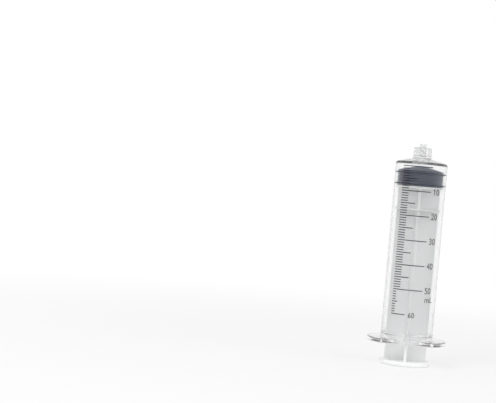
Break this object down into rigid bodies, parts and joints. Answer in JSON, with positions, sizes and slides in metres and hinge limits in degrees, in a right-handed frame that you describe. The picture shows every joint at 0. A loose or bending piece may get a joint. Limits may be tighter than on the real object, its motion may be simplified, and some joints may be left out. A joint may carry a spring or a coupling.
{
  "type": "luer lock syringe",
  "caption": "Luer lock syringe with a graduated clear barrel, a finger flange, a dark rubber stopper and a cross-finned plunger rod.",
  "frame": {"origin": "centre of the thumb rest's underside, on the syringe's axis", "axes": "+Z along the axis from the thumb rest to the luer tip; X along the finger flange's two wings; the printed scale faces -Y"},
  "size_m": [0.048, 0.0352, 0.1352],
  "materials": {
    "clear_plastic": "clear polypropylene, slightly hazy",
    "rod_plastic": "natural polypropylene, translucent",
    "stopper_rubber": "smooth, lightly oiled",
    "print_ink": "thin printed ink"
  },
  "bodies": {
    "plunger_rod": {"plunger_rod": "rod_plastic"},
    "stopper": {"stopper": "stopper_rubber"},
    "barrel": {"barrel": "clear_plastic", "scale_marks": "print_ink"}
  },
  "joints": [
    {"name": "rod_spin", "type": "hinge", "parent": "plunger_rod", "child": "stopper", "pos_m": [0, 0, 0.11125], "axis": [0, 0, 1], "continuous": true},
    {"name": "plunger_slide", "type": "slide", "parent": "stopper", "child": "barrel", "axis": [0, 0, 1], "range_m": [-0.00388, 0.09]}
  ]
}
